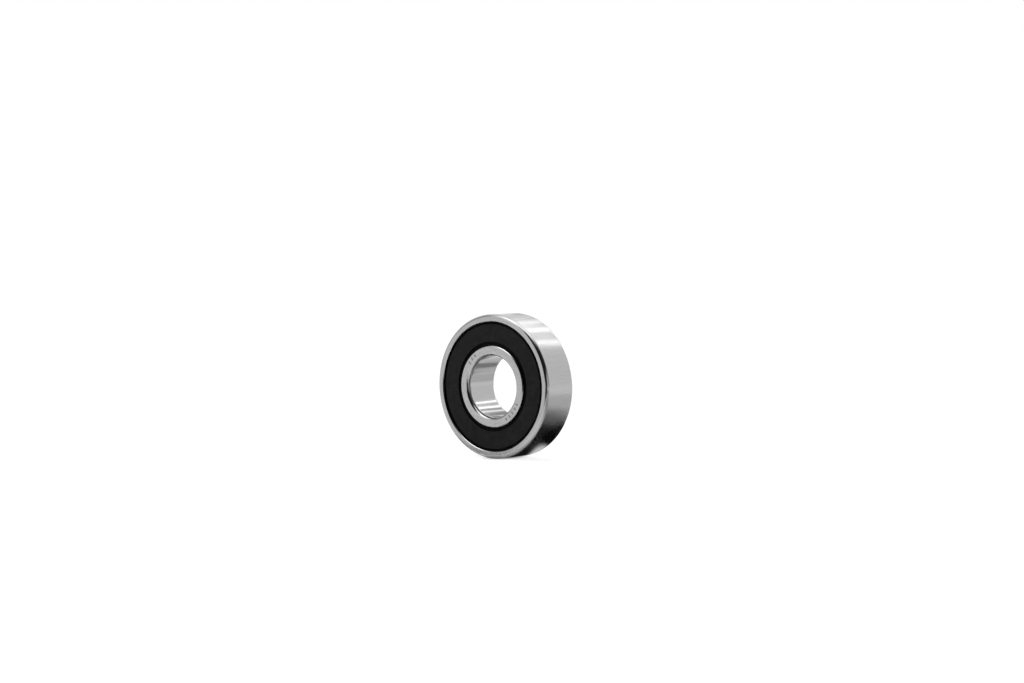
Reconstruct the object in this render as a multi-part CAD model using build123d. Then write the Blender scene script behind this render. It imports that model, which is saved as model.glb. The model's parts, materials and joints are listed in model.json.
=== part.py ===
from build123d import *
import os

# Sealed deep groove ball bearing, 12 mm bore, 28 mm outside diameter, 8 mm wide.
# Millimetres. The bearing stands on its rim: its axis is the Y axis, +Z is up, and
# the origin is the centre of the bore. The front faces -Y and the rear faces +Y.
# Every ring section below is drawn as (radius, distance along the axis).

# --- boundary dimensions ---------------------------------------------------------
bore_diameter = 12.0
outside_diameter = 28.0
bearing_width = 8.0
corner_radius = 0.6  # rounding where a bore or rim meets a side face

# --- balls and raceways ----------------------------------------------------------
ball_diameter = 4.762
ball_count = 8
groove_conformity = 0.52  # raceway groove radius over ball diameter
ball_to_race_gap = 0.01  # running clearance on each side of a ball
shoulder_height = 0.9  # raceway shoulder above the bottom of its groove

# --- seal seat in the outer ring ---------------------------------------------------
side_face_width = 0.669  # plain side face between the corner rounding and the recess
recess_bevel = 0.12
recess_land = 0.32  # depth of the plain edge that holds the seal in
snap_groove_depth = 0.34  # undercut behind that edge
snap_groove_flank = 0.22  # axial run of each sloping side of the undercut

# --- seal land and groove on the inner ring ---------------------------------------
land_step = 0.6  # seal land below the inner shoulder
land_bevel = 0.14
land_length = 0.52  # from the side face to the edge of the lip groove
lip_groove_depth = 0.25
lip_groove_flank = 0.1
lip_groove_floor = 0.26
shoulder_rise = 0.3  # axial run of the slope from the lip groove to the shoulder

# --- seal: moulded rubber bonded to a pressed steel plate -------------------------
seal_recess = 0.2  # rubber face below the side faces of the rings
rubber_cover = 0.32  # rubber over the plate
plate_thickness = 0.2
rim_turn_depth = 0.22  # turned-in rim of the plate, below its flat
face_to_recess = 0.54  # from the edge of the rubber face to the recess
rim_relief_width = 0.26  # valley round the rubber face, inside the recess
rim_relief_depth = 0.26
bead_gap = 0.02  # rubber bead in its groove
face_to_land = 0.8  # from the seal land to the edge of the rubber face
plate_to_land = 0.95
plate_rim_inset = 0.35  # plate rim inside the recess radius
lip_step_run = 0.1
lip_shelf_depth = 0.26  # lip shelf below the rubber face
lip_ridge_offset = 0.42  # fine ridge on the lip, above the seal land
lip_ridge_height = 0.07
lip_ridge_half_width = 0.07
lip_gap = 0.04  # running clearance of both lip edges
lip_edge_width = 0.1
lip_notch_rise = 0.14

# --- ribbon cage: two pressed halves held by rivets --------------------------------
cage_sheet = 0.3
pocket_gap = 0.08  # ball in its pocket
cage_to_shoulder = 0.28
pocket_root_radius = 0.2
rivet_diameter = 0.8
rivet_head_diameter = 1.25
rivet_head_height = 0.26
rivet_hole_gap = 0.01

# --- sizes that follow ---------------------------------------------------------------
bore_radius = bore_diameter / 2
outside_radius = outside_diameter / 2
half_width = bearing_width / 2
ball_radius = ball_diameter / 2
pitch_radius = (bore_radius + outside_radius) / 2
ball_step = 360 / ball_count
groove_radius = groove_conformity * ball_diameter
outer_race_bottom = pitch_radius + ball_radius + ball_to_race_gap
inner_race_bottom = pitch_radius - ball_radius - ball_to_race_gap
outer_shoulder = outer_race_bottom - shoulder_height
inner_shoulder = inner_race_bottom + shoulder_height

recess_radius = outside_radius - corner_radius - side_face_width - recess_bevel
snap_groove_radius = recess_radius + snap_groove_depth
land_radius = inner_shoulder - land_step
lip_groove_radius = land_radius - lip_groove_depth

# depths below the side face
plate_top = seal_recess + rubber_cover
plate_bottom = plate_top + plate_thickness
seal_seat = plate_bottom + rim_turn_depth
lip_groove_start = land_length + lip_groove_flank
lip_groove_end = lip_groove_start + lip_groove_floor
shoulder_start = lip_groove_end + shoulder_rise

pocket_radius = ball_radius + pocket_gap
pocket_outside = pocket_radius + cage_sheet
cage_inside = inner_shoulder + cage_to_shoulder
cage_outside = outer_shoulder - cage_to_shoulder


def turned(section):
    """A solid of revolution about the bearing's axis."""
    return revolve(section, Axis.Y)


def outline(points):
    """A closed face from (radius, axial) corners."""
    return make_face(Polyline(*points, close=True))


def at_depth(points):
    """Corners given as (radius, depth below the rear side face), in bearing coordinates."""
    return [(radius, half_width - depth) for radius, depth in points]


def both_sides(points):
    """Corners for the rear half of a ring, followed by their mirror image at the front."""
    return points + [(radius, -axial) for radius, axial in reversed(points)]


def rounded(section, corner_points, radius):
    """The section with the corners nearest to the given points rounded."""
    corners = [
        section.vertices().sort_by_distance(Vector(x, y, 0))[0] for x, y in corner_points
    ]
    return fillet(corners, radius)


def outer_ring():
    seat = at_depth(
        [
            (outer_shoulder, seal_seat),
            (recess_radius, seal_seat),
            (snap_groove_radius, seal_seat - snap_groove_flank),
            (snap_groove_radius, recess_land + snap_groove_flank),
            (recess_radius, recess_land),
            (recess_radius, recess_bevel),
            (recess_radius + recess_bevel, 0),
        ]
    )
    section = outline(both_sides(seat + [(outside_radius, half_width)]))
    rims = [(outside_radius, half_width), (outside_radius, -half_width)]
    section = rounded(section, rims, corner_radius)
    groove_centre = outer_race_bottom - groove_radius
    return turned(section - Pos(groove_centre, 0) * Circle(groove_radius))


def inner_ring():
    land = at_depth(
        [
            (inner_shoulder, shoulder_start),
            (lip_groove_radius, lip_groove_end),
            (lip_groove_radius, lip_groove_start),
            (land_radius, land_length),
            (land_radius, land_bevel),
            (land_radius - land_bevel, 0),
        ]
    )
    section = outline(both_sides(land + [(bore_radius, half_width)]))
    rims = [(bore_radius, half_width), (bore_radius, -half_width)]
    section = rounded(section, rims, corner_radius)
    groove_centre = inner_race_bottom + groove_radius
    return turned(section - Pos(groove_centre, 0) * Circle(groove_radius))


def on_pitch_circle(step):
    """Place of a ball, counted in ball steps clockwise from the top, seen from the front."""
    return Rot(0, step * ball_step, 0) * Pos(0, 0, pitch_radius)


def ball(number):
    return on_pitch_circle(number - 1) * Sphere(ball_radius)


def rear_cage_half():
    def band(inside, outside, height):
        return extrude(Plane.ZX * (Circle(outside) - Circle(inside)), height)

    places = [on_pitch_circle(step) for step in range(ball_count)]
    sheet = band(bore_radius, outside_radius, cage_sheet)
    sheet += [place * Sphere(pocket_outside) for place in places]
    sheet = sheet & band(bore_radius, outside_radius, pocket_outside)
    roots = [
        edge
        for edge in sheet.edges().filter_by(GeomType.CIRCLE)
        if abs(edge.center().Y - cage_sheet) < pocket_gap / 2 and edge.radius < pocket_outside
    ]
    half = fillet(roots, pocket_root_radius)
    half = half & band(cage_inside, cage_outside, pocket_outside)
    half -= [place * Sphere(pocket_radius) for place in places]
    hole = Rot(90, 0, 0) * Cylinder(rivet_diameter / 2 + rivet_hole_gap, 4 * cage_sheet)
    return half - [on_pitch_circle(step + 0.5) * hole for step in range(ball_count)]


def cage_rivet(number):
    shank = rivet_diameter / 2
    head = rivet_head_diameter / 2
    tip = cage_sheet + rivet_head_height
    crown = (head**2 + rivet_head_height**2) / (2 * rivet_head_height)
    side = Polyline((0, 0), (shank, 0), (shank, cage_sheet), (head, cage_sheet))
    dome = RadiusArc((head, cage_sheet), (0, tip), -crown)
    half = revolve(make_face(side + dome + Line((0, tip), (0, 0))), Axis.Y)
    rivet = half + mirror(half, Plane.XZ)
    return on_pitch_circle(number - 0.5) * rivet


def plate_section():
    """Flat washer with its rim turned in towards the seat."""
    inside = land_radius + plate_to_land
    rim = recess_radius - plate_rim_inset
    return outline(
        at_depth(
            [
                (inside, plate_top),
                (rim, plate_top),
                (rim, seal_seat),
                (rim - plate_thickness, seal_seat),
                (rim - plate_thickness, plate_bottom),
                (inside, plate_bottom),
            ]
        )
    )


def rear_seal_plate():
    return turned(plate_section())


def rear_seal_rubber():
    face_outside = recess_radius - face_to_recess
    face_inside = land_radius + face_to_land
    valley = face_outside + rim_relief_width
    valley_depth = seal_recess + rim_relief_depth
    groove_top = recess_land + snap_groove_flank + bead_gap
    groove_bottom = seal_seat - snap_groove_flank - bead_gap
    plate_rim = recess_radius - plate_rim_inset
    rim = [
        (face_outside, seal_recess),
        (valley, valley_depth),
        (recess_radius - bead_gap, valley_depth),
        (snap_groove_radius - bead_gap, groove_top),
        (snap_groove_radius - bead_gap, groove_bottom),
        (recess_radius - bead_gap, seal_seat),
        (plate_rim - plate_thickness, seal_seat),
        (plate_rim - plate_thickness, plate_bottom),
    ]
    shelf = seal_recess + lip_shelf_depth
    shelf_edge = face_inside - lip_step_run
    ridge = land_radius + lip_ridge_offset
    dust_edge = land_radius + lip_gap
    seal_edge = lip_groove_radius + lip_gap
    notch = dust_edge + lip_notch_rise
    seal_edge_start = lip_groove_start + lip_gap
    seal_edge_end = seal_edge_start + lip_edge_width
    lip = [
        (land_radius + plate_to_land, plate_bottom),
        (seal_edge, seal_edge_end),
        (seal_edge, seal_edge_start),
        (notch, shelf + lip_edge_width),
        (dust_edge, shelf + lip_edge_width),
        (dust_edge, shelf),
        (ridge - lip_ridge_half_width, shelf),
        (ridge, shelf - lip_ridge_height),
        (ridge + lip_ridge_half_width, shelf),
        (shelf_edge, shelf),
        (face_inside, seal_recess),
    ]
    return turned(outline(at_depth(rim + lip)) - plate_section())


def front_of(rear_part):
    """The same part on the front side of the bearing."""
    return mirror(rear_part, Plane.XZ)


parts = {
    "outer_ring": outer_ring(),
    "inner_ring": inner_ring(),
    "rear_cage_half": rear_cage_half(),
    "front_cage_half": front_of(rear_cage_half()),
    "rear_seal_rubber": rear_seal_rubber(),
    "rear_seal_plate": rear_seal_plate(),
    "front_seal_rubber": front_of(rear_seal_rubber()),
    "front_seal_plate": front_of(rear_seal_plate()),
}
for number in range(1, ball_count + 1):
    parts[f"ball_{number}"] = ball(number)
    parts[f"cage_rivet_{number}"] = cage_rivet(number)

os.makedirs("parts", exist_ok=True)
for name, shape in parts.items():
    export_step(shape, f"parts/{name}.step")
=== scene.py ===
import json
import math
import bpy
from mathutils import Matrix, Vector


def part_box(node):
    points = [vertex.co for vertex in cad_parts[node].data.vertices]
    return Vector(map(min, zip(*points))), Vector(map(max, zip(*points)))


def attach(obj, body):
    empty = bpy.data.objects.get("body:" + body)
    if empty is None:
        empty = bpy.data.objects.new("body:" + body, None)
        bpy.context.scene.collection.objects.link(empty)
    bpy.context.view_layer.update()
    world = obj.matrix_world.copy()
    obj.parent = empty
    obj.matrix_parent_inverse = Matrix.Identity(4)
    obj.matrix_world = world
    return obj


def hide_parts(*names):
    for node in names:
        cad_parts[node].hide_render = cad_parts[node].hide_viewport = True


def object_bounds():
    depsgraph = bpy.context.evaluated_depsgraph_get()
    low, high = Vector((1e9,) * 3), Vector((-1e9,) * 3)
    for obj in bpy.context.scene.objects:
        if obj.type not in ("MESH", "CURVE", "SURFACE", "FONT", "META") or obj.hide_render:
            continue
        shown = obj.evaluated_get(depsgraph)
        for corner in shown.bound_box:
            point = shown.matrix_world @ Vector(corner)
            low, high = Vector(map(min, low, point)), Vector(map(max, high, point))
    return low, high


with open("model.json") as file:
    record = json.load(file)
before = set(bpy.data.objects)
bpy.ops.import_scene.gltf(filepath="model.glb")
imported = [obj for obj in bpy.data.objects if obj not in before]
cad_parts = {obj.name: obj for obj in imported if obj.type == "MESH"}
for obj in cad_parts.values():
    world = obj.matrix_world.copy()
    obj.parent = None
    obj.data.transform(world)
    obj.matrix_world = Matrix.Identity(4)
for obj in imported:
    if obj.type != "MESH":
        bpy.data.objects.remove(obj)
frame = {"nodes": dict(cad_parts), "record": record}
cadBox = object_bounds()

# Sizes are in millimetres until a mesh or a lamp is made. The bearing's axis is Y.
mm = 0.001


def reachOf(nodeName):
    low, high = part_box(nodeName)
    return max(high.x, high.z) / mm


def farEndOf(nodeName):
    low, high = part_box(nodeName)
    return max(abs(low.y), abs(high.y)) / mm


def nearEndOf(nodeName):
    low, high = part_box(nodeName)
    return min(abs(low.y), abs(high.y)) / mm


shaftBore = next(mount for mount in frame["record"]["mounts"] if mount["name"] == "shaft_bore")
ballLow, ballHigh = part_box("ball_1")
bearing = {
    "boreRadius": shaftBore["dims"]["r_mm"],
    "outsideRadius": reachOf("outer_ring"),
    "halfWidth": farEndOf("outer_ring"),
    "innerShoulder": reachOf("inner_ring"),
    "sealDepth": farEndOf("outer_ring") - farEndOf("front_seal_rubber"),
    "seatDepth": farEndOf("outer_ring") - nearEndOf("front_seal_rubber"),
    "sealRadius": reachOf("front_seal_rubber"),
    "plateRadius": reachOf("front_seal_plate"),
    "plateDepth": farEndOf("outer_ring") - farEndOf("front_seal_plate"),
    "ballRadius": (ballHigh.z - ballLow.z) / 2 / mm,
    "pitchRadius": (ballHigh.z + ballLow.z) / 2 / mm,
    "outsideCorner": (0.57, 1.2),  # radial length, and axial length over radial length
    "boreCorner": (0.56, 1.5),
    "racewayRatio": 0.52,  # raceway groove radius over ball diameter
    "racewayGap": 0.01,
    "shoulderHeight": 0.9,
}
print("scene: frame loaded,", len(frame["nodes"]), "nodes")


def addNode(tree, kind, sources=None, **settings):
    made = tree.nodes.new(kind)
    for name, value in settings.items():
        setattr(made, name, value)
    for socketName, source in (sources or {}).items():
        socket = made.inputs[socketName]
        if isinstance(source, bpy.types.NodeSocket):
            tree.links.new(source, socket)
        else:
            socket.default_value = source
    return made


def calculate(tree, operation, first, second=0.0, third=0.0):
    sources = {0: first, 1: second, 2: third}
    return addNode(tree, "ShaderNodeMath", sources, operation=operation).outputs[0]


def mapValue(tree, value, fromRange, toRange, **settings):
    return addNode(tree, "ShaderNodeMapRange", {
        "Value": value, "From Min": fromRange[0], "From Max": fromRange[1],
        "To Min": toRange[0], "To Max": toRange[1]}, **settings).outputs["Result"]


def lengthOf(tree, vector):
    return addNode(tree, "ShaderNodeVectorMath", {0: vector}, operation="LENGTH").outputs["Value"]


def partsOf(tree, vector):
    return addNode(tree, "ShaderNodeSeparateXYZ", {"Vector": vector}).outputs


def vectorOf(tree, x, y, z):
    return addNode(tree, "ShaderNodeCombineXYZ", {"X": x, "Y": y, "Z": z}).outputs[0]


def distanceFromAxis(tree, parts):
    squares = calculate(tree, "MULTIPLY", parts["X"], parts["X"])
    squares = calculate(tree, "MULTIPLY_ADD", parts["Z"], parts["Z"], squares)
    return calculate(tree, "SQRT", squares)


def newGroup(name, kind, sockets):
    tree = bpy.data.node_groups.new(name, kind)
    for socketName, direction, socketType, value in sockets:
        socket = tree.interface.new_socket(
            socketName, in_out=direction, socket_type="NodeSocket" + socketType)
        if value is not None:
            socket.default_value = value
    return tree, addNode(tree, "NodeGroupInput"), addNode(tree, "NodeGroupOutput")


def makeMarkGroup():
    # Tool marks on a turned or ground ring. They are as wide as Across, over the radius on a side face
    # and over the axis on a wall, and as long as Around, in mm.
    tree, given, result = newGroup("toolMarks", "ShaderNodeTree", [
        ("Place", "INPUT", "Vector", None), ("On Wall", "INPUT", "Float", 0.0),
        ("Across", "INPUT", "Float", 0.1), ("Around", "INPUT", "Float", 5.0),
        ("Roughening", "INPUT", "Float", 0.5), ("Height", "OUTPUT", "Float", None)])
    parts = partsOf(tree, given.outputs["Place"])
    radius = distanceFromAxis(tree, parts)
    wall = calculate(tree, "MULTIPLY", calculate(tree, "SUBTRACT", parts["Y"], radius),
                     given.outputs["On Wall"])
    across = calculate(tree, "DIVIDE", calculate(tree, "ADD", radius, wall), given.outputs["Across"])
    turn = calculate(tree, "DIVIDE", bearing["pitchRadius"] * mm, given.outputs["Around"])
    turn = calculate(tree, "DIVIDE", turn, radius)
    place = vectorOf(tree, calculate(tree, "DIVIDE", across, mm),
                     calculate(tree, "DIVIDE", calculate(tree, "MULTIPLY", parts["X"], turn), mm),
                     calculate(tree, "DIVIDE", calculate(tree, "MULTIPLY", parts["Z"], turn), mm))
    noise = addNode(tree, "ShaderNodeTexNoise", {
        "Vector": place, "Scale": 1.0, "Detail": 3.0, "Roughness": given.outputs["Roughening"]})
    tree.links.new(noise.outputs["Fac"], result.inputs["Height"])
    return tree


# How a finish is mixed, the same for every piece
mix = {
    "noiseRange": (0.3, 0.7),  # nearly all of a noise's values
    "lineShare": 0.6,  # of a steel's tone, and the clouds make the rest
    "cloudShare": 0.4,
}


def newMaterial(name):
    material = bpy.data.materials.new(name)
    material.use_nodes = True
    tree = material.node_tree
    shader = next(node for node in tree.nodes if node.type == "BSDF_PRINCIPLED")
    place = addNode(tree, "ShaderNodeTexCoord").outputs["Object"]
    return material, tree, shader, place


def makeNoise(tree, place, size, detail, roughness):
    return addNode(tree, "ShaderNodeTexNoise", {
        "Vector": place, "Scale": 1 / (size * mm), "Detail": detail, "Roughness": roughness}).outputs["Fac"]


def setSurface(tree, shader, look, pattern, bump):
    # A grey that follows the pattern, and the relief
    shades = [look["shade"] * (1 + side * look["shadeSpread"]) for side in (-1, 1)]
    tone = mapValue(tree, pattern, mix["noiseRange"], shades)
    colour = addNode(tree, "ShaderNodeCombineColor", {"Red": tone, "Green": tone, "Blue": tone})
    tree.links.new(colour.outputs["Color"], shader.inputs["Base Color"])
    tree.links.new(bump.outputs["Normal"], shader.inputs["Normal"])


def steelFinish(name, look):
    material, tree, shader, place = newMaterial(name)
    material.diffuse_color = (look["shade"], look["shade"], look["shade"], 1)

    def markHeight(across, around):
        made = addNode(tree, "ShaderNodeGroup", node_tree=markGroup)
        made.inputs["On Wall"].default_value = look["onWall"]
        made.inputs["Across"].default_value = across
        made.inputs["Around"].default_value = around
        tree.links.new(place, made.inputs["Place"])
        return made.outputs["Height"]

    lines = markHeight(look["lineWidth"], look["lineLength"])
    lobes = markHeight(look["lobeWidth"], look["lobeLength"])
    clouds = makeNoise(tree, place, look["cloudSize"], detail=4.0, roughness=0.6)
    pattern = calculate(tree, "ADD", calculate(tree, "MULTIPLY", lines, mix["lineShare"]),
                        calculate(tree, "MULTIPLY", clouds, mix["cloudShare"]))
    relief = calculate(tree, "ADD", calculate(tree, "MULTIPLY", lines, look["lineDepth"] * mm),
                       calculate(tree, "MULTIPLY", lobes, look["lobeDepth"] * mm))
    bump = addNode(tree, "ShaderNodeBump", {"Strength": 1.0, "Distance": 1.0, "Height": relief})
    setSurface(tree, shader, look, pattern, bump)
    roughnesses = [look["roughness"] + side * look["roughnessSpread"] for side in (-1, 1)]
    tree.links.new(mapValue(tree, clouds, mix["noiseRange"], roughnesses), shader.inputs["Roughness"])
    shader.inputs["Metallic"].default_value = 1.0
    return material


def rubberFinish(name, look):
    material, tree, shader, place = newMaterial(name)
    grain = makeNoise(tree, place, look["grainSize"], detail=3.0, roughness=0.6)
    clouds = makeNoise(tree, place, look["cloudSize"], detail=5.0, roughness=0.65)
    bump = addNode(tree, "ShaderNodeBump", {
        "Strength": 1.0, "Distance": look["grainDepth"] * mm, "Height": grain})
    setSurface(tree, shader, look, clouds, bump)
    shader.inputs["Specular IOR Level"].default_value = look["gloss"]
    shader.inputs["Roughness"].default_value = look["roughness"]
    return material


markGroup = makeMarkGroup()
steelLooks = {
    # side faces: ground flat, fine rings
    "sideSteel": {
        "shade": 0.42, "shadeSpread": 0.22, "roughness": 0.3, "roughnessSpread": 0.06, "onWall": 0.0,
        "lineWidth": 0.16, "lineLength": 2.5, "lineDepth": 0.003,
        "lobeWidth": 0.35, "lobeLength": 0.45, "lobeDepth": 0.0035, "cloudSize": 0.35},
    # rim: centreless ground, bright, with faint flats along the axis
    "rimSteel": {
        "shade": 0.44, "shadeSpread": 0.06, "roughness": 0.19, "roughnessSpread": 0.03, "onWall": 1.0,
        "lineWidth": 3.0, "lineLength": 0.13, "lineDepth": 0.0012,
        "lobeWidth": 7.0, "lobeLength": 0.6, "lobeDepth": 0.006, "cloudSize": 0.35},
    # bore: honed, as bright as the rim
    "boreSteel": {
        "shade": 0.44, "shadeSpread": 0.05, "roughness": 0.13, "roughnessSpread": 0.03, "onWall": 1.0,
        "lineWidth": 4.0, "lineLength": 0.2, "lineDepth": 0.001,
        "lobeWidth": 8.0, "lobeLength": 0.9, "lobeDepth": 0.006, "cloudSize": 0.5},
    # turned edges and recesses
    "turnedSteel": {
        "shade": 0.43, "shadeSpread": 0.04, "roughness": 0.14, "roughnessSpread": 0.03, "onWall": 0.0,
        "lineWidth": 0.03, "lineLength": 8.0, "lineDepth": 0.0004,
        "lobeWidth": 2.0, "lobeLength": 2.0, "lobeDepth": 0.001, "cloudSize": 2.0},
    "markSteel": {
        "shade": 0.2, "shadeSpread": 0.2, "roughness": 0.55, "roughnessSpread": 0.08, "onWall": 0.0,
        "lineWidth": 0.05, "lineLength": 0.05, "lineDepth": 0.003,
        "lobeWidth": 0.2, "lobeLength": 0.2, "lobeDepth": 0.002, "cloudSize": 0.3},
    "ballSteel": {
        "shade": 0.55, "shadeSpread": 0.02, "roughness": 0.06, "roughnessSpread": 0.02, "onWall": 1.0,
        "lineWidth": 0.3, "lineLength": 0.3, "lineDepth": 0.0001,
        "lobeWidth": 1.0, "lobeLength": 1.0, "lobeDepth": 0.0002, "cloudSize": 1.0},
    "sheetSteel": {
        "shade": 0.42, "shadeSpread": 0.06, "roughness": 0.34, "roughnessSpread": 0.06, "onWall": 0.0,
        "lineWidth": 0.12, "lineLength": 1.0, "lineDepth": 0.001,
        "lobeWidth": 1.0, "lobeLength": 1.0, "lobeDepth": 0.002, "cloudSize": 0.9},
    "rivetSteel": {
        "shade": 0.4, "shadeSpread": 0.06, "roughness": 0.3, "roughnessSpread": 0.05, "onWall": 0.0,
        "lineWidth": 0.2, "lineLength": 0.2, "lineDepth": 0.001,
        "lobeWidth": 0.5, "lobeLength": 0.5, "lobeDepth": 0.001, "cloudSize": 0.5},
}
finishes = {name: steelFinish(name, look) for name, look in steelLooks.items()}
rubberLooks = {
    # flat face: matte, with a thin grey bloom
    "sealRubber": {"shade": 0.0081, "shadeSpread": 0.8, "gloss": 0.18, "roughness": 0.62,
                   "grainSize": 0.14, "grainDepth": 0.018, "cloudSize": 1.1},
    # lip, grooves and rim: darker than the flat face, as painted shade in the grooves and at the lip
    "lipRubberPaintedShade": {"shade": 0.0018, "shadeSpread": 0.3, "gloss": 0.06, "roughness": 0.5,
                  "grainSize": 0.1, "grainDepth": 0.004, "cloudSize": 1.6},
}
finishes.update({name: rubberFinish(name, look) for name, look in rubberLooks.items()})
print("scene: finishes made,", len(finishes))


def roundedSection(corners, arcSteps=5, longestRun=0.36, guard=0.03):
    # Each corner is (radius, axial, rounding), and a stretch along the axis where it is not circular.
    # Returns the outline with round corners, and long runs divided.
    outline = []
    for index, (radius, axial, rounding, *stretch) in enumerate(corners):
        here = Vector((radius, axial))
        if rounding == 0:
            outline.append(here)
            continue
        back = (Vector(corners[index - 1][:2]) - here).normalized()
        onward = (Vector(corners[(index + 1) % len(corners)][:2]) - here).normalized()
        halfAngle = back.angle(onward) / 2
        centre = here + (back + onward).normalized() * rounding / math.sin(halfAngle)
        start = here + back * rounding / math.tan(halfAngle) - centre
        end = here + onward * rounding / math.tan(halfAngle) - centre
        sweep = math.atan2(start.x * end.y - start.y * end.x, start.dot(end))
        for step in range(arcSteps + 1):
            point = centre + Matrix.Rotation(sweep * step / arcSteps, 2) @ start
            if stretch:
                point.y = axial + (point.y - axial) * stretch[0]
            outline.append(point)
    divided = []
    for index, here in enumerate(outline):
        there = outline[(index + 1) % len(outline)]
        divided.append(here)
        length = (there - here).length
        if length < longestRun:
            continue
        runs = math.ceil(length / longestRun)
        shares = [guard / length] + [run / runs for run in range(1, runs)] + [1 - guard / length]
        divided.extend(here.lerp(there, share) for share in shares)
    return divided


def throughBoth(rearCorners):
    # Corners of the rear half, then the same corners at the front
    front = [(radius, -axial, *rounding) for radius, axial, *rounding in reversed(rearCorners)]
    return rearCorners + front


def racewayArc(centreRadius, grooveRadius, shoulderRadius, steps):
    # Corners on the raceway groove, from its front edge to its rear edge
    halfSpan = math.asin(math.sqrt(1 - ((shoulderRadius - centreRadius) / grooveRadius) ** 2))
    side = 1 if shoulderRadius > centreRadius else -1
    return [(centreRadius + side * grooveRadius * math.cos(halfSpan * share),
             grooveRadius * math.sin(halfSpan * share), 0)
            for share in (2 * step / steps - 1 for step in range(steps + 1))]


# How the lathe tells its zones apart
zones = {
    "seam": 1e-7,  # points this near are one point, in metres
    "tolerance": 0.00001,  # how near a face is to the wall or the side, in metres
    "upright": 0.02,  # the most that a wall's normal leans along the axis
}


def givenFinish(tree, geometry, finish, selection=True):
    return addNode(tree, "GeometryNodeSetMaterial", {
        "Geometry": geometry, "Selection": selection, "Material": finish}).outputs["Geometry"]


def realized(tree, geometry):
    return addNode(tree, "GeometryNodeRealizeInstances", {"Geometry": geometry}).outputs["Geometry"]


def faceParts(tree):
    # The parts of each face's normal and of its centre
    return [partsOf(tree, addNode(tree, kind).outputs[0])
            for kind in ("GeometryNodeInputNormal", "GeometryNodeInputPosition")]


def makeLatheTree():
    # Sweeps the outline's points round the Y axis, closes the seam and gives each zone its finish
    tree, given, result = newGroup("lathe", "GeometryNodeTree", [
        ("Outline", "INPUT", "Geometry", None), ("Steps Around", "INPUT", "Int", 360),
        ("Wall Radius", "INPUT", "Float", 0.01), ("Wall Tolerance", "INPUT", "Float", zones["tolerance"]),
        ("Side Distance", "INPUT", "Float", 0.004),
        ("Turned Finish", "INPUT", "Material", None), ("Side Finish", "INPUT", "Material", None),
        ("Wall Finish", "INPUT", "Material", None), ("Lathed", "OUTPUT", "Geometry", None)])
    tree.is_modifier = True
    outline = given.outputs["Outline"]
    points = addNode(tree, "GeometryNodeAttributeDomainSize", {"Geometry": outline}).outputs["Point Count"]
    rows = calculate(tree, "ADD", points, 1)
    columns = calculate(tree, "ADD", given.outputs["Steps Around"], 1)
    grid = addNode(tree, "GeometryNodeMeshGrid", {
        "Size X": 1.0, "Size Y": 1.0, "Vertices X": columns, "Vertices Y": rows})
    index = addNode(tree, "GeometryNodeInputIndex").outputs[0]
    column = calculate(tree, "FLOOR", calculate(tree, "DIVIDE", calculate(tree, "ADD", index, 0.5), rows))
    row = calculate(tree, "SUBTRACT", index, calculate(tree, "MULTIPLY", column, rows))
    row = calculate(tree, "FLOORED_MODULO", row, points)
    sample = addNode(tree, "GeometryNodeSampleIndex", data_type="FLOAT_VECTOR", domain="POINT")
    tree.links.new(outline, sample.inputs["Geometry"])
    tree.links.new(addNode(tree, "GeometryNodeInputPosition").outputs[0], sample.inputs["Value"])
    tree.links.new(calculate(tree, "ROUND", row), sample.inputs["Index"])
    corner = partsOf(tree, sample.outputs["Value"])
    turns = calculate(tree, "DIVIDE", column, given.outputs["Steps Around"])
    angle = calculate(tree, "MULTIPLY", turns, math.tau)
    around = vectorOf(tree, calculate(tree, "MULTIPLY", corner["X"], calculate(tree, "SINE", angle)),
                      corner["Y"],
                      calculate(tree, "MULTIPLY", corner["X"], calculate(tree, "COSINE", angle)))
    placed = addNode(tree, "GeometryNodeSetPosition", {
        "Geometry": grid.outputs["Mesh"], "Position": around})
    closed = addNode(tree, "GeometryNodeMergeByDistance", {
        "Geometry": placed.outputs["Geometry"], "Distance": zones["seam"]})

    normal, centre = faceParts(tree)
    offWall = calculate(tree, "SUBTRACT", distanceFromAxis(tree, centre), given.outputs["Wall Radius"])
    offSide = calculate(tree, "SUBTRACT", calculate(tree, "ABSOLUTE", centre["Y"]),
                        given.outputs["Side Distance"])
    nearWall, nearSide = [
        calculate(tree, "LESS_THAN", calculate(tree, "ABSOLUTE", off), given.outputs["Wall Tolerance"])
        for off in (offWall, offSide)]
    upright = calculate(tree, "LESS_THAN", calculate(tree, "ABSOLUTE", normal["Y"]), zones["upright"])
    onWall = calculate(tree, "MULTIPLY", nearWall, upright)
    geometry = givenFinish(tree, closed.outputs["Geometry"], given.outputs["Turned Finish"])
    geometry = givenFinish(tree, geometry, given.outputs["Side Finish"], nearSide)
    geometry = givenFinish(tree, realized(tree, geometry), given.outputs["Wall Finish"], onWall)
    tree.links.new(geometry, result.inputs["Lathed"])
    return tree


def setInputs(modifier, values):
    for socket in modifier.node_group.interface.items_tree:
        if socket.item_type == "SOCKET" and socket.in_out == "INPUT" and socket.name in values:
            modifier[socket.identifier] = values[socket.name]


def addTree(piece, tree, values):
    modifier = piece.modifiers.new(tree.name, "NODES")
    modifier.node_group = tree
    setInputs(modifier, values)


def settle(piece, sharpAngle=28):
    # Turns what the trees make into a plain mesh
    view = bpy.context.evaluated_depsgraph_get()
    made = bpy.data.meshes.new_from_object(piece.evaluated_get(view), depsgraph=view)
    piece.modifiers.clear()
    piece.data = made
    if made.materials[0] is None:
        made.materials.pop(index=0)  # the grid's own empty slot
    made.name = piece.name
    made.shade_smooth()
    made.set_sharp_from_angle(angle=math.radians(sharpAngle))


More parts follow.
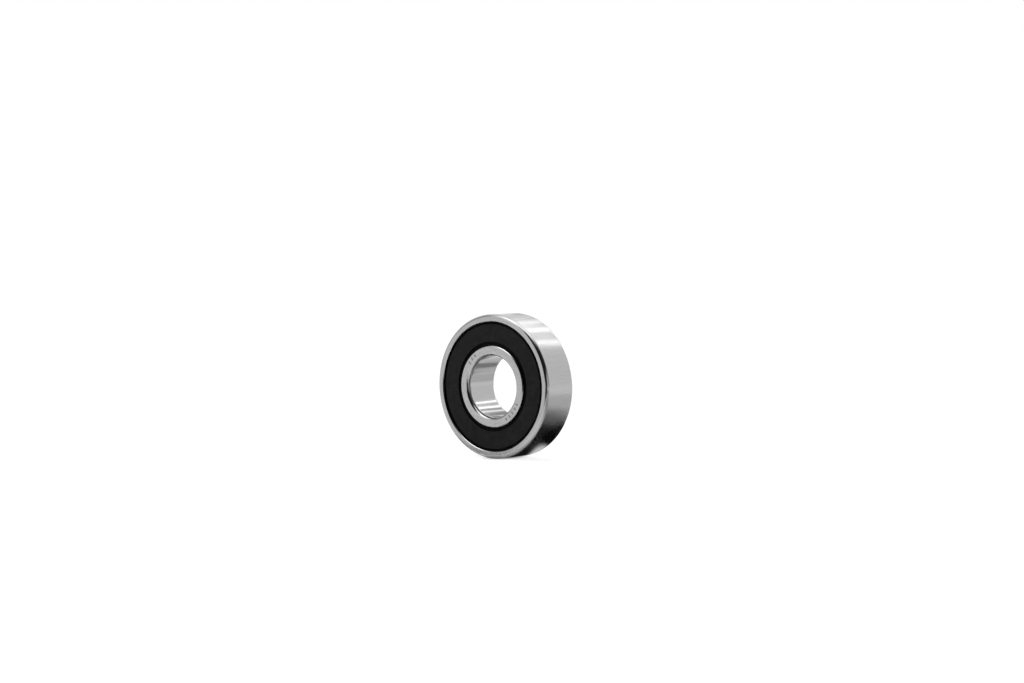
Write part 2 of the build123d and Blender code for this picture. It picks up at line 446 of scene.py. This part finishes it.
def turnedPiece(name, section, values):
    # The outline runs counterclockwise, seen with the radius to the right, so that faces point outwards
    following = section[1:] + section[:1]
    area = sum(here.x * there.y - here.y * there.x for here, there in zip(section, following))
    if area < 0:
        section = section[::-1]
    mesh = bpy.data.meshes.new(name)
    edges = [(index, (index + 1) % len(section)) for index in range(len(section))]
    mesh.from_pydata([(point.x * mm, point.y * mm, 0) for point in section], edges, [])
    piece = bpy.data.objects.new(name, mesh)
    bpy.context.collection.objects.link(piece)
    addTree(piece, latheTree, values)
    return piece


latheTree = makeLatheTree()

outerRing = {
    "recessRadius": 12.611, "recessBevel": 0.12, "landDepth": 0.32,
    "grooveFlank": 0.22, "grooveGap": 0.02,
    "edgeRounding": 0.035, "stepsAround": 480, "racewaySteps": 24,
}


def makeOuterRing():
    halfWidth = bearing["halfWidth"]
    edge = outerRing["edgeRounding"]
    recess = outerRing["recessRadius"]
    groove = bearing["sealRadius"] + outerRing["grooveGap"]
    racewayBottom = bearing["pitchRadius"] + bearing["ballRadius"] + bearing["racewayGap"]
    grooveRadius = bearing["racewayRatio"] * 2 * bearing["ballRadius"]
    shoulder = racewayBottom - bearing["shoulderHeight"]
    rear = [
        (shoulder, halfWidth - bearing["seatDepth"], edge),
        (recess, halfWidth - bearing["seatDepth"], edge),
        (groove, halfWidth - bearing["seatDepth"] + outerRing["grooveFlank"], edge),
        (groove, halfWidth - outerRing["landDepth"] - outerRing["grooveFlank"], edge),
        (recess, halfWidth - outerRing["landDepth"], edge),
        (recess, halfWidth - outerRing["recessBevel"], edge),
        (recess + outerRing["recessBevel"], halfWidth, edge),
        (bearing["outsideRadius"], halfWidth, *bearing["outsideCorner"]),
    ]
    raceway = racewayArc(racewayBottom - grooveRadius, grooveRadius, shoulder, outerRing["racewaySteps"])
    section = roundedSection(throughBoth(rear) + raceway)
    piece = turnedPiece("outerRing", section, {
        "Steps Around": outerRing["stepsAround"], "Wall Radius": bearing["outsideRadius"] * mm,
        "Side Distance": halfWidth * mm,
        "Turned Finish": finishes["turnedSteel"], "Side Finish": finishes["sideSteel"],
        "Wall Finish": finishes["rimSteel"]})
    settle(piece)
    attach(piece, "outer_ring")
    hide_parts("outer_ring")
    print("scene: outer ring", len(piece.data.polygons), "faces")


makeOuterRing()

# The inner ring has plain inspection ticks etched in its front face
innerRing = {
    "landStep": 0.6, "landBevel": 0.14, "landLength": 0.52,
    "lipGrooveDepth": 0.25, "lipGrooveFlank": 0.1, "lipGrooveFloor": 0.26, "shoulderRise": 0.3,
    "edgeRounding": 0.04, "longestRun": 0.3, "stepsAround": 360, "racewaySteps": 20,
}
tickGroups = [
    {"First Angle": -62.0, "Pitch": 8.0, "Count": 5, "Tick Angle": 2.0},
    {"First Angle": 122.0, "Pitch": 8.0, "Count": 3, "Tick Angle": 2.0},
]
tickSizes = {"Inside Radius": 6.86 * mm, "Outside Radius": 7.4 * mm, "Depth": 0.02 * mm}
frontFacing = -0.99  # the normal's part along the axis, on the front side face


def makeTickTree():
    # Sinks evenly spaced ticks into the front side face. Angles run from +X towards +Z, in degrees
    sizes = ("First Angle", "Pitch", "Tick Angle", "Inside Radius", "Outside Radius", "Depth")
    tree, given, result = newGroup("ticks", "GeometryNodeTree", [
        ("Ring", "INPUT", "Geometry", None), *((name, "INPUT", "Float", 1.0) for name in sizes),
        ("Count", "INPUT", "Int", 3), ("Tick Finish", "INPUT", "Material", None),
        ("Etched", "OUTPUT", "Geometry", None)])
    tree.is_modifier = True
    normal, centre = faceParts(tree)
    angle = calculate(tree, "DEGREES", calculate(tree, "ARCTAN2", centre["Z"], centre["X"]))
    along = calculate(tree, "DIVIDE", calculate(tree, "SUBTRACT", angle, given.outputs["First Angle"]),
                      given.outputs["Pitch"])
    number = calculate(tree, "FLOOR", along)
    offCentre = calculate(tree, "SUBTRACT", calculate(tree, "FRACT", along), 0.5)
    halfTick = calculate(tree, "DIVIDE", calculate(tree, "MULTIPLY", given.outputs["Tick Angle"], 0.5),
                         given.outputs["Pitch"])
    radius = distanceFromAxis(tree, centre)
    rules = [
        calculate(tree, "GREATER_THAN", number, -0.5),
        calculate(tree, "LESS_THAN", number, given.outputs["Count"]),
        calculate(tree, "LESS_THAN", calculate(tree, "ABSOLUTE", offCentre), halfTick),
        calculate(tree, "GREATER_THAN", radius, given.outputs["Inside Radius"]),
        calculate(tree, "LESS_THAN", radius, given.outputs["Outside Radius"]),
        calculate(tree, "LESS_THAN", normal["Y"], frontFacing),
    ]
    chosen = rules[0]
    for rule in rules[1:]:
        chosen = calculate(tree, "MULTIPLY", chosen, rule)
    sunk = addNode(tree, "GeometryNodeExtrudeMesh", {
        "Mesh": given.outputs["Ring"], "Selection": chosen, "Individual": False,
        "Offset Scale": calculate(tree, "MULTIPLY", given.outputs["Depth"], -1)}, mode="FACES")
    floorOrWall = addNode(tree, "FunctionNodeBooleanMath", {
        0: sunk.outputs["Top"], 1: sunk.outputs["Side"]}, operation="OR").outputs[0]
    etched = realized(tree, sunk.outputs["Mesh"])
    etched = givenFinish(tree, etched, given.outputs["Tick Finish"], floorOrWall)
    tree.links.new(etched, result.inputs["Etched"])
    return tree


def makeInnerRing():
    halfWidth = bearing["halfWidth"]
    edge = innerRing["edgeRounding"]
    land = bearing["innerShoulder"] - innerRing["landStep"]
    lipGroove = land - innerRing["lipGrooveDepth"]
    grooveStart = innerRing["landLength"] + innerRing["lipGrooveFlank"]
    grooveEnd = grooveStart + innerRing["lipGrooveFloor"]
    racewayBottom = bearing["pitchRadius"] - bearing["ballRadius"] - bearing["racewayGap"]
    grooveRadius = bearing["racewayRatio"] * 2 * bearing["ballRadius"]
    rear = [
        (bearing["innerShoulder"], halfWidth - grooveEnd - innerRing["shoulderRise"], edge),
        (lipGroove, halfWidth - grooveEnd, edge),
        (lipGroove, halfWidth - grooveStart, edge),
        (land, halfWidth - innerRing["landLength"], edge / 2),
        (land, halfWidth - innerRing["landBevel"], edge),
        (land - innerRing["landBevel"], halfWidth, edge),
        (bearing["boreRadius"], halfWidth, *bearing["boreCorner"]),
    ]
    raceway = racewayArc(racewayBottom + grooveRadius, grooveRadius, bearing["innerShoulder"],
                         innerRing["racewaySteps"])
    section = roundedSection(throughBoth(rear) + raceway, longestRun=innerRing["longestRun"])
    piece = turnedPiece("innerRing", section, {
        "Steps Around": innerRing["stepsAround"], "Wall Radius": bearing["boreRadius"] * mm,
        "Side Distance": halfWidth * mm,
        "Turned Finish": finishes["turnedSteel"], "Side Finish": finishes["sideSteel"],
        "Wall Finish": finishes["boreSteel"]})
    for group in tickGroups:
        addTree(piece, tickTree, {**tickSizes, **group, "Tick Finish": finishes["markSteel"]})
    settle(piece)
    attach(piece, "inner_ring")
    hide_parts("inner_ring")
    print("scene: inner ring", len(piece.data.polygons), "faces")


tickTree = makeTickTree()
makeInnerRing()

seal = {
    "plateThickness": 0.2, "faceToRecess": 0.54, "reliefWidth": 0.26, "reliefDepth": 0.26,
    "grooveFlank": 0.22, "gap": 0.02, "faceToLand": 0.8, "plateToLand": 0.95, "stepRun": 0.1,
    "shelfDepth": 0.26, "ridgeOffset": 0.42, "ridgeHeight": 0.07, "ridgeHalfWidth": 0.07,
    "lipGap": 0.04, "lipEdge": 0.1, "notchRise": 0.14, "rounding": 0.025, "arcSteps": 3,
    "stepsAround": 360,
}


def sealCorners():
    # (radius, depth below the rings' side faces, rounding), once round the rubber's section
    recess = outerRing["recessRadius"]
    land = bearing["innerShoulder"] - innerRing["landStep"]
    groove = bearing["sealRadius"]
    face = bearing["sealDepth"]
    plate = bearing["plateRadius"]
    plateTop = bearing["plateDepth"]
    seat = bearing["seatDepth"]
    faceOutside = recess - seal["faceToRecess"]
    valleyDepth = face + seal["reliefDepth"]
    shelf = face + seal["shelfDepth"]
    ridge = land + seal["ridgeOffset"]
    dustEdge = land + seal["lipGap"]
    sealEdge = land - innerRing["lipGrooveDepth"] + seal["lipGap"]
    sealEdgeTop = innerRing["landLength"] + innerRing["lipGrooveFlank"] + seal["lipGap"]
    edge = seal["rounding"]
    return [
        (faceOutside, face, 2 * edge),
        (faceOutside + seal["reliefWidth"], valleyDepth, 2 * edge),
        (recess - seal["gap"], valleyDepth, edge),
        (groove, outerRing["landDepth"] + seal["grooveFlank"] + seal["gap"], edge),
        (groove, seat - seal["grooveFlank"] - seal["gap"], edge),
        (recess - seal["gap"], seat, edge),
        (plate, seat, 0),
        (plate, plateTop, 0),
        (land + seal["plateToLand"], plateTop, 0),
        (land + seal["plateToLand"], plateTop + seal["plateThickness"], edge),
        (sealEdge, sealEdgeTop + seal["lipEdge"], edge),
        (sealEdge, sealEdgeTop, edge),
        (dustEdge + seal["notchRise"], shelf + seal["lipEdge"], edge),
        (dustEdge, shelf + seal["lipEdge"], edge),
        (dustEdge, shelf, edge),
        (ridge - seal["ridgeHalfWidth"], shelf, edge),
        (ridge, shelf - seal["ridgeHeight"], edge),
        (ridge + seal["ridgeHalfWidth"], shelf, edge),
        (land + seal["faceToLand"] - seal["stepRun"], shelf, edge),
        (land + seal["faceToLand"], face, 2 * edge),
    ]


def makeSeal(name, node, side):
    # side is 1 at the rear and -1 at the front
    corners = [(radius, side * (bearing["halfWidth"] - depth), rounding)
               for radius, depth, rounding in sealCorners()]
    piece = turnedPiece(name, roundedSection(corners, arcSteps=seal["arcSteps"]), {
        "Steps Around": seal["stepsAround"], "Wall Radius": 0.0,
        "Side Distance": (bearing["halfWidth"] - bearing["sealDepth"]) * mm,
        # The grooves, lip and rim get the darker rubber, which is painted shade
        "Turned Finish": finishes["lipRubberPaintedShade"], "Side Finish": finishes["sealRubber"],
        "Wall Finish": finishes["lipRubberPaintedShade"]})
    settle(piece)
    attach(piece, "outer_ring")
    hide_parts(node)
    print("scene:", name, len(piece.data.polygons), "faces")


makeSeal("frontSealRubber", "front_seal_rubber", -1)
makeSeal("rearSealRubber", "rear_seal_rubber", 1)

# The rivets that hold the two cage halves together, on the circle of the ball centres
cageRivets = {
    "headHeight": 0.26, "shankRadius": 0.4, "headEdge": 0.012, "domeSteps": 8, "arcSteps": 2,
    "stepsAround": 32, "sharpAngle": 40, "count": 8, "firstAngle": 22.5,
}


def makeCopiesTree():
    # Sets copies of a piece evenly round the Y axis. Angles run from +Z towards +X, in degrees
    tree, given, result = newGroup("ringOfCopies", "GeometryNodeTree", [
        ("Piece", "INPUT", "Geometry", None), ("Count", "INPUT", "Int", 8),
        ("Ring Radius", "INPUT", "Float", 0.01), ("First Angle", "INPUT", "Float", 0.0),
        ("Finish", "INPUT", "Material", None), ("Copies", "OUTPUT", "Geometry", None)])
    tree.is_modifier = True
    neighbours = addNode(tree, "GeometryNodeInputMeshEdgeNeighbors").outputs["Face Count"]
    loose = calculate(tree, "LESS_THAN", neighbours, 1)
    whole = addNode(tree, "GeometryNodeDeleteGeometry", {
        "Geometry": given.outputs["Piece"], "Selection": loose}, domain="EDGE")
    index = addNode(tree, "GeometryNodeInputIndex").outputs[0]
    angle = calculate(tree, "MULTIPLY", calculate(tree, "DIVIDE", index, given.outputs["Count"]), math.tau)
    angle = calculate(tree, "ADD", angle, calculate(tree, "RADIANS", given.outputs["First Angle"]))
    radius = given.outputs["Ring Radius"]
    place = vectorOf(tree, calculate(tree, "MULTIPLY", calculate(tree, "SINE", angle), radius), 0.0,
                     calculate(tree, "MULTIPLY", calculate(tree, "COSINE", angle), radius))
    points = addNode(tree, "GeometryNodePoints", {"Count": given.outputs["Count"], "Position": place})
    copies = addNode(tree, "GeometryNodeInstanceOnPoints", {
        "Points": points.outputs[0], "Instance": whole.outputs[0]})
    finished = givenFinish(tree, realized(tree, copies.outputs[0]), given.outputs["Finish"])
    tree.links.new(finished, result.inputs["Copies"])
    return tree


def makeCageRivets():
    low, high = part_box("cage_rivet_1")
    headRadius = (high.z - low.z) / 2 / mm
    headHeight = cageRivets["headHeight"]
    sheet = high.y / mm - headHeight
    crown = (headRadius ** 2 + headHeight ** 2) / (2 * headHeight)
    span = math.asin(headRadius / crown)
    angles = [span * step / cageRivets["domeSteps"] for step in range(cageRivets["domeSteps"])]
    dome = [(crown * math.sin(angle), sheet + headHeight - crown * (1 - math.cos(angle)), 0)
            for angle in angles]
    rear = dome + [(headRadius, sheet, cageRivets["headEdge"]), (cageRivets["shankRadius"], sheet, 0)]
    section = roundedSection(throughBoth(rear), arcSteps=cageRivets["arcSteps"])
    piece = turnedPiece("cageRivets", section, {
        "Steps Around": cageRivets["stepsAround"], "Turned Finish": finishes["rivetSteel"],
        "Side Finish": finishes["rivetSteel"], "Wall Finish": finishes["rivetSteel"]})
    addTree(piece, makeCopiesTree(), {
        "Count": cageRivets["count"], "Ring Radius": bearing["pitchRadius"] * mm,
        "First Angle": cageRivets["firstAngle"], "Finish": finishes["rivetSteel"]})
    settle(piece, sharpAngle=cageRivets["sharpAngle"])
    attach(piece, "cage")
    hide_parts(*(f"cage_rivet_{number}" for number in range(1, cageRivets["count"] + 1)))
    print("scene: cage rivets", len(piece.data.polygons), "faces")


makeCageRivets()

# The balls, cage halves and seal plates keep their CAD shape
for nodeName, node in frame["nodes"].items():
    finish = None
    if nodeName.startswith("ball_"):
        finish = finishes["ballSteel"]
    elif nodeName.endswith("_cage_half") or nodeName.endswith("_seal_plate"):
        finish = finishes["sheetSteel"]
    if finish:
        node.data.materials.clear()
        node.data.materials.append(finish)

# The studio: a pale floor, one lamp over the front, and panels and floor tones that only reflections show.
# The floor tones are painted shade on the floor.
# Azimuth 0 is the front (-Y) and 90 is +X, in degrees. A glow of 1 is white. Floor places are in mm.
studio = {
    "floorHalfSize": 3.0, "floorShade": 0.36, "floorGlow": 0.86, "skyLight": 0.55,
    # the contact sizes make a painted shadow: the floor glows less under the rim
    "contactShadowReach": (4.2, 6.5), "contactShadowCore": 0.3, "contactShadowDark": 0.75,
    "lampAzimuth": -30, "lampElevation": 58, "lampDistance": 0.55, "lampSize": 0.36, "lampBrightness": 1.0,
}
viewpoint = {
    "azimuth": 40.64, "elevation": 3.2, "distance": 0.425, "right": 0.001375, "up": 0.00856,
    "lens": 76.8, "sensor": 36.0, "nearest": 0.01, "farthest": 50,
}
panels = [
    # The distance is in metres, and nearer ones hide the farther ones.
    # The fades are how many degrees each edge softens over, at the low and the high azimuth, then at
    # the low and the high elevation.
    {"name": "above", "azimuth": (-180, 180), "elevation": (54, 89),
     "distance": 0.72, "glow": 1.95, "fades": (0, 0, 9, 0)},
    {"name": "rearLow", "azimuth": (165, 205), "elevation": (-1, 25),
     "distance": 0.71, "glow": 2.0, "fades": (4, 4, 0, 4)},
    {"name": "rearMain", "azimuth": (154.5, 206), "elevation": (21, 58),
     "distance": 0.25, "glow": 1.4, "fades": (3, 6, 3, 3)},
    {"name": "rearStripRight", "azimuth": (158.8, 163.4), "elevation": (24, 52),
     "distance": 0.15, "glow": 3.7, "fades": (1, 1, 3, 3)},
    {"name": "rearStripMiddle", "azimuth": (178, 185.6), "elevation": (26, 58),
     "distance": 0.095, "glow": 3.0, "fades": (1, 1, 3, 3)},
    {"name": "rearStripLeft", "azimuth": (195, 206), "elevation": (36.8, 54),
     "distance": 0.094, "glow": 2.0, "fades": (1, 2.5, 1.5, 3)},
    {"name": "rimStripHigh", "azimuth": (187, 195), "elevation": (42.6, 58),
     "distance": 0.0935, "glow": 1.9, "fades": (2, 1, 1, 3)},
    {"name": "rimStripThin", "azimuth": (207.4, 210.4), "elevation": (32.8, 44),
     "distance": 0.0925, "glow": 1.8, "fades": (1, 1, 1, 3)},
    {"name": "boreStripLeft", "azimuth": (196.2, 202.4), "elevation": (26, 38.3),
     "distance": 0.092, "glow": 1.75, "fades": (1, 1, 3, 1.5)},
    {"name": "boreDimMiddle", "azimuth": (186, 196.5), "elevation": (28, 41.6),
     "distance": 0.093, "glow": 0.6, "fades": (1.5, 1, 3, 1.5)},
    {"name": "boreDimRight", "azimuth": (164.2, 178.5), "elevation": (28, 41.2),
     "distance": 0.096, "glow": 0.97, "fades": (3, 1, 3, 1.5)},
    {"name": "boreDimLeft", "azimuth": (202.4, 210), "elevation": (22, 34.5),
     "distance": 0.091, "glow": 0.58, "fades": (1, 2, 3, 2)},
    {"name": "boreDimFirst", "azimuth": (151, 163), "elevation": (24, 35.5),
     "distance": 0.0965, "glow": 1.0, "fades": (2, 6, 3, 2)},
    {"name": "boreDimLast", "azimuth": (206.5, 219), "elevation": (11, 29.5),
     "distance": 0.06, "glow": 0.42, "fades": (2, 3, 5, 4)},
    {"name": "frontStrip", "azimuth": (-38.5, -20), "elevation": (12, 50),
     "distance": 0.7, "glow": 1.45, "fades": (4, 3, 5, 4)},
    {"name": "frontDark", "azimuth": (-23, 135), "elevation": (-1, 72),
     "distance": 0.69, "glow": 0.02, "fades": (7, 25, 0, 20)},
    {"name": "rightGrey", "azimuth": (62, 135), "elevation": (-1, 24),
     "distance": 0.68, "glow": 0.7, "fades": (16, 12, 0, 14)},
    {"name": "leftGrey", "azimuth": (-74, -44), "elevation": (-1, 42),
     "distance": 0.68, "glow": 0.35, "fades": (8, 12, 14, 5)},
    {"name": "leftBand", "azimuth": (-98, -68), "elevation": (37, 50),
     "distance": 0.67, "glow": 0.5, "fades": (4, 4, 4, 4)},
]
toneStep = 0.000002  # metres that each floor tone lies above the one before it
plainTone = {"turn": 0, "glow": 0.0}  # what a tone has where it gives nothing else
# Floor tones, painted shade on the floor that only reflections show. Those named as painted shadow or shade
# stand for the part's shadow and the shade under and beside it; the others only darken the floor in
# reflections, and the two with a glow are lighter patches among them.
paintedFloorShade = [
    {"name": "paintedShadowContact", "centre": (0.5, 0.3), "reach": (10, 5.2), "core": 0.45, "cover": 0.95},
    {"name": "paintedShadowSkirt", "centre": (14, 7), "reach": (26, 15), "turn": 35, "core": 0.2, "cover": 0.75},
    {"name": "paintedShadeRight", "centre": (42, -8), "reach": (34, 30), "core": 0.2, "cover": 0.55},
    {"name": "toneFront", "centre": (90, -165), "reach": (170, 160), "core": 0.6, "cover": 0.93},
    {"name": "toneFrontFar", "centre": (330, -420), "reach": (380, 330), "core": 0.6, "cover": 0.93},
    {"name": "toneLeft", "centre": (-11, -12), "reach": (15, 10), "core": 0.35, "cover": 0.66},
    {"name": "toneRear", "centre": (25, 40), "reach": (60, 60), "core": 0.3, "cover": 0.26},
    {"name": "toneLine", "centre": (9.5, 26), "reach": (1.7, 8), "core": 0.3, "cover": 0.7, "glow": 1.2},
    {"name": "paintedShadowUnder", "centre": (9.5, 11), "reach": (9, 12), "core": 0.35, "cover": 0.93},
    {"name": "toneBore", "centre": (-2.5, 15), "reach": (5, 17), "core": 0.5, "cover": 0.58},
    {"name": "paintedShadowEdge", "centre": (11.5, 3), "reach": (12, 7), "core": 0.3, "cover": 0.76},
    {"name": "paintedShadowCorner", "centre": (10, -0.5), "reach": (9, 4.5), "core": 0.3, "cover": 0.42},
    {"name": "toneSide", "centre": (135, 10), "reach": (110, 75), "core": 0.3, "cover": 0.5},
    {"name": "toneInside", "centre": (-16, 22), "reach": (22, 20), "turn": -50, "core": 0.3, "cover": 0.14},
    {"name": "toneBehind", "centre": (4.4, 5.6), "reach": (4.3, 3.0), "turn": -30, "core": 0.35,
     "cover": 1.0, "glow": 0.85},
]


def direction(azimuth, elevation):
    turn, rise = math.radians(azimuth), math.radians(elevation)
    return Vector((math.sin(turn) * math.cos(rise), -math.cos(turn) * math.cos(rise), math.sin(rise)))


def makeCamera():
    back = direction(viewpoint["azimuth"], viewpoint["elevation"])
    right = direction(viewpoint["azimuth"] + 90, 0)
    up = back.cross(right)
    data = bpy.data.cameras.new("camera")
    data.lens = viewpoint["lens"]
    data.sensor_width = viewpoint["sensor"]
    data.clip_start = viewpoint["nearest"]
    data.clip_end = viewpoint["farthest"]
    camera = bpy.data.objects.new("camera", data)
    bpy.context.collection.objects.link(camera)
    place = back * viewpoint["distance"] + right * viewpoint["right"] + up * viewpoint["up"]
    camera.matrix_world = Matrix.Translation(place) @ Matrix((right, up, back)).transposed().to_4x4()
    bpy.context.scene.camera = camera


def stageTree(name):
    material = bpy.data.materials.new(name)
    material.use_nodes = True
    material.node_tree.nodes.clear()
    return material, material.node_tree


def backgroundShare(tree):
    # 1 for what the camera and reflections see, and 0 for what lights the part
    rays = addNode(tree, "ShaderNodeLightPath")
    share = calculate(tree, "MAXIMUM", rays.outputs["Is Camera Ray"], rays.outputs["Is Glossy Ray"])
    return calculate(tree, "MAXIMUM", share, rays.outputs["Is Transmission Ray"])


def makeWorld():
    world = bpy.data.worlds.new("studio")
    bpy.context.scene.world = world
    world.use_nodes = True
    tree = world.node_tree
    tree.nodes.clear()
    strength = mapValue(tree, backgroundShare(tree), (0.0, 1.0), (studio["skyLight"], 1.0))
    light = addNode(tree, "ShaderNodeBackground", {"Color": (1, 1, 1, 1), "Strength": strength})
    addNode(tree, "ShaderNodeOutputWorld", {"Surface": light.outputs[0]})


def makeFloor():
    mesh = bpy.data.meshes.new("floor")
    size = studio["floorHalfSize"]
    low = cadBox[0].z
    corners = [(-size, -size, low), (size, -size, low), (size, size, low), (-size, size, low)]
    mesh.from_pydata(corners, [], [(0, 1, 2, 3)])
    floor = bpy.data.objects.new("floor", mesh)
    bpy.context.collection.objects.link(floor)
    material, tree = stageTree("floor")
    shade = studio["floorShade"]
    matte = addNode(tree, "ShaderNodeBsdfDiffuse", {"Color": (shade, shade, shade, 1)})
    # A painted contact shadow: the floor glows less under the rim, or the glow would wash out the dark line
    # where the two meet
    wide, deep = studio["contactShadowReach"]
    place = addNode(tree, "ShaderNodeMapping", {
        "Vector": addNode(tree, "ShaderNodeTexCoord").outputs["Object"],
        "Scale": (1 / (wide * mm), 1 / (deep * mm), 0)}).outputs[0]
    contactShadow = mapValue(tree, lengthOf(tree, place), (studio["contactShadowCore"], 1.0),
                       (1 - studio["contactShadowDark"], 1.0), interpolation_type="SMOOTHSTEP")
    strength = calculate(tree, "MULTIPLY", backgroundShare(tree), studio["floorGlow"])
    strength = calculate(tree, "MULTIPLY", strength, contactShadow)
    glow = addNode(tree, "ShaderNodeEmission", {"Color": (1, 1, 1, 1), "Strength": strength})
    both = addNode(tree, "ShaderNodeAddShader", {0: matte.outputs[0], 1: glow.outputs[0]})
    addNode(tree, "ShaderNodeOutputMaterial", {"Surface": both.outputs[0]})
    mesh.materials.append(material)


def makeLamp():
    size = studio["lampSize"]
    data = bpy.data.lights.new("frontLamp", "AREA")
    data.size = size
    data.energy = studio["lampBrightness"] * math.pi * size * size  # the same brightness at any size
    lamp = bpy.data.objects.new("frontLamp", data)
    bpy.context.collection.objects.link(lamp)
    towards = direction(studio["lampAzimuth"], studio["lampElevation"])
    lamp.location = towards * studio["lampDistance"]
    lamp.rotation_euler = towards.to_track_quat("Z", "Y").to_euler()
    lamp.visible_camera = False


def addReflected(name, mesh, cover, tree, material, glow):
    # Only the reflections of the part show this surface, as far as cover says
    clear = addNode(tree, "ShaderNodeBsdfTransparent")
    light = addNode(tree, "ShaderNodeEmission", {"Color": (1, 1, 1, 1), "Strength": glow})
    mixed = addNode(tree, "ShaderNodeMixShader", {0: cover, 1: clear.outputs[0], 2: light.outputs[0]})
    addNode(tree, "ShaderNodeOutputMaterial", {"Surface": mixed.outputs[0]})
    mesh.materials.append(material)
    surface = bpy.data.objects.new(name, mesh)
    bpy.context.collection.objects.link(surface)
    surface.visible_camera = False
    surface.visible_diffuse = False
    surface.visible_shadow = False
    surface.visible_transmission = False


def edgesWithFades(low, high, fadeLow, fadeHigh, longest=6):
    # Grid lines from low to high, with how much of the panel is there at each
    marks = [(low, 0.0 if fadeLow else 1.0)]
    inside = [low + fadeLow, high - fadeHigh]
    steps = max(1, math.ceil((inside[1] - inside[0]) / longest))
    marks += [(inside[0] + (inside[1] - inside[0]) * step / steps, 1.0) for step in range(steps + 1)]
    marks.append((high, 0.0 if fadeHigh else 1.0))
    return [mark for index, mark in enumerate(marks) if index == 0 or mark[0] > marks[index - 1][0]]


def makePanel(panel):
    fades = panel["fades"]
    columns = edgesWithFades(*panel["azimuth"], fades[0], fades[1])
    rows = edgesWithFades(*panel["elevation"], fades[2], fades[3])
    points = [direction(azimuth, elevation) * panel["distance"]
              for elevation, rowCover in rows for azimuth, columnCover in columns]
    covers = [rowCover * columnCover for elevation, rowCover in rows for azimuth, columnCover in columns]
    width = len(columns)
    faces = [(row * width + column, row * width + column + 1, (row + 1) * width + column + 1,
              (row + 1) * width + column) for row in range(len(rows) - 1) for column in range(width - 1)]
    mesh = bpy.data.meshes.new(panel["name"])
    mesh.from_pydata(points, [], faces)
    mesh.attributes.new("cover", "FLOAT", "POINT").data.foreach_set("value", covers)
    material, tree = stageTree(panel["name"])
    cover = addNode(tree, "ShaderNodeAttribute", attribute_name="cover").outputs["Fac"]
    addReflected(panel["name"], mesh, cover, tree, material, panel["glow"])


def makePaintedFloorShade(tone, height):
    # One patch of painted floor shade, which only reflections show
    mesh = bpy.data.meshes.new(tone["name"])
    centre = Vector((*tone["centre"], 0)) * mm + Vector((0, 0, cadBox[0].z + height))
    turn = Matrix.Rotation(math.radians(tone["turn"]), 3, "Z")
    wide = turn @ Vector((tone["reach"][0] * mm, 0, 0))
    deep = turn @ Vector((0, tone["reach"][1] * mm, 0))
    corners = [centre - wide - deep, centre + wide - deep, centre + wide + deep, centre - wide + deep]
    mesh.from_pydata(corners, [], [(0, 1, 2, 3)])
    mesh.uv_layers.new(name="place").data.foreach_set("uv", [-1, -1, 1, -1, 1, 1, -1, 1])
    material, tree = stageTree(tone["name"])
    place = addNode(tree, "ShaderNodeUVMap", uv_map="place").outputs["UV"]
    cover = mapValue(tree, lengthOf(tree, place), (tone["core"], 1.0), (tone["cover"], 0.0),
                     interpolation_type="SMOOTHSTEP")
    addReflected(tone["name"], mesh, cover, tree, material, tone["glow"])


bpy.context.scene.view_settings.view_transform = "Standard"
makeCamera()
makeWorld()
makeFloor()
makeLamp()
for panel in panels:
    makePanel(panel)
for index, tone in enumerate(paintedFloorShade):
    makePaintedFloorShade({**plainTone, **tone}, toneStep * (index + 1))
print("scene: studio made,", len(panels), "panels and", len(paintedFloorShade), "floor tones")
